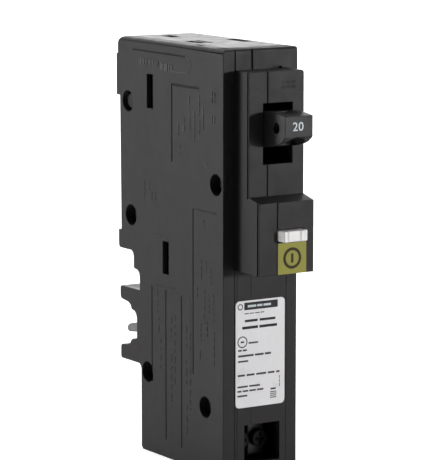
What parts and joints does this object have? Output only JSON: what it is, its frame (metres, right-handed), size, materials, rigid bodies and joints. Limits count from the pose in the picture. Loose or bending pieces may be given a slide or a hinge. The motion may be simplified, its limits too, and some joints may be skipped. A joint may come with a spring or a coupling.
{
  "type": "circuit breaker",
  "caption": "Narrow plug-on circuit breaker with a toggle handle, a test button, a bus jaw, a neutral clip and screw terminals for wires.",
  "frame": {"origin": "centre of the flat load-end face the breaker can stand on, at mid width and mid depth of that face", "axes": "+Z along the case from the load end to the line end; -Y towards the front, where the handle is; X across the width"},
  "size_m": [0.0254, 0.0781, 0.1246],
  "materials": {
    "case_plastic": "moulded thermoset, dark charcoal grey, fine matt texture",
    "handle_plastic": "smooth moulded charcoal grey",
    "button_plastic": "white, satin",
    "label_white": "coated white label, satin",
    "label_green": "yellow-green coated label, satin",
    "steel": "zinc-plated steel, satin",
    "dark_steel": "blackened steel",
    "copper": "bare copper strip",
    "plated_copper": "tin-plated copper strip, satin",
    "contact_silver": "silver alloy contact",
    "lug_metal": "tin-plated lug",
    "fibre": "vulcanised fibre sheet",
    "board_green": "circuit board with solder mask",
    "chip_black": "moulded epoxy",
    "ceramic_blue": "epoxy-dipped ceramic disc",
    "ceramic_tan": "chip resistor body",
    "can_metal": "sleeved can",
    "ferrite": "sintered ferrite core",
    "enamel_wire": "enamelled copper winding",
    "coil_tape": "yellow polyester coil tape",
    "bobbin_nylon": "natural nylon"
  },
  "bodies": {
    "case": {"left_cover": "case_plastic", "center_case": "case_plastic", "right_base": "case_plastic", "case_rivets": "dark_steel", "rating_label": "label_white", "test_label": "label_green", "handle_pin": "steel", "handle_spring": "steel", "arm_pin": "steel", "fixed_contact": "contact_silver", "line_strap": "copper", "line_jaw": "plated_copper", "jaw_spring": "steel", "arc_plates": "steel", "arc_side_walls": "fibre", "cradle_pin": "steel", "cradle_spring": "steel", "armature_pin": "steel", "magnet_yoke": "steel", "bimetal": "steel", "flexible_braid": "copper", "load_strap": "copper", "load_lug": "lug_metal", "neutral_lug": "lug_metal", "terminal_barrier": "case_plastic", "neutral_strap": "copper", "neutral_clip": "plated_copper", "sensor_core": "ferrite", "sensor_winding": "enamel_wire", "sensor_leads": "enamel_wire", "circuit_board": "board_green", "board_chip": "chip_black", "board_varistor": "ceramic_blue", "board_capacitors": "can_metal", "board_resistors": "ceramic_tan", "solenoid_frame": "steel", "solenoid_bobbin": "bobbin_nylon", "solenoid_coil": "coil_tape", "plunger_spring": "steel", "test_contact_spring": "plated_copper"},
    "handle": {"handle": "handle_plastic"},
    "contact_arm": {"contact_arm": "copper", "moving_contact": "contact_silver", "contact_spring": "steel"},
    "trip_cradle": {"trip_cradle": "steel"},
    "armature": {"armature": "steel"},
    "solenoid_plunger": {"solenoid_plunger": "steel"},
    "test_button": {"test_button": "button_plastic"},
    "load_screw": {"load_screw": "dark_steel"},
    "neutral_screw": {"neutral_screw": "dark_steel"}
  },
  "joints": [
    {"name": "handle_swing", "type": "hinge", "parent": "case", "child": "handle", "pos_m": [0.00115, -0.016, 0.10075], "axis": [-1, 0, 0], "range_deg": [-19, 7]},
    {"name": "contact_arm_swing", "type": "hinge", "parent": "case", "child": "contact_arm", "pos_m": [0.00115, -0.004, 0.082], "axis": [-1, 0, 0], "range_deg": [-22.8, 8.4]},
    {"name": "cradle_swing", "type": "hinge", "parent": "case", "child": "trip_cradle", "pos_m": [0.0057, 0.012, 0.074], "axis": [-1, 0, 0], "range_deg": [0, 14]},
    {"name": "armature_swing", "type": "hinge", "parent": "case", "child": "armature", "pos_m": [0.0028, -0.0186, 0.0705], "axis": [1, 0, 0], "range_deg": [0, 5]},
    {"name": "plunger_pull", "type": "slide", "parent": "case", "child": "solenoid_plunger", "axis": [0, 0, -1], "range_m": [0, 0.0025], "deforming": ["plunger_spring"]},
    {"name": "test_button_press", "type": "slide", "parent": "case", "child": "test_button", "axis": [0, 1, 0], "range_m": [0, 0.0015], "stiffness_N_per_m": 200},
    {"name": "load_screw_turn", "type": "hinge", "parent": "case", "child": "load_screw", "pos_m": [0.0041, -0.0148, 0.0088], "axis": [0, 1, 0], "continuous": true},
    {"name": "neutral_screw_turn", "type": "hinge", "parent": "case", "child": "neutral_screw", "pos_m": [-0.0025, -0.0148, 0.0088], "axis": [0, 1, 0], "continuous": true}
  ],
  "couplings": [
    {"joint": "contact_arm_swing", "follows": "handle_swing", "ratio": 1.2}
  ]
}
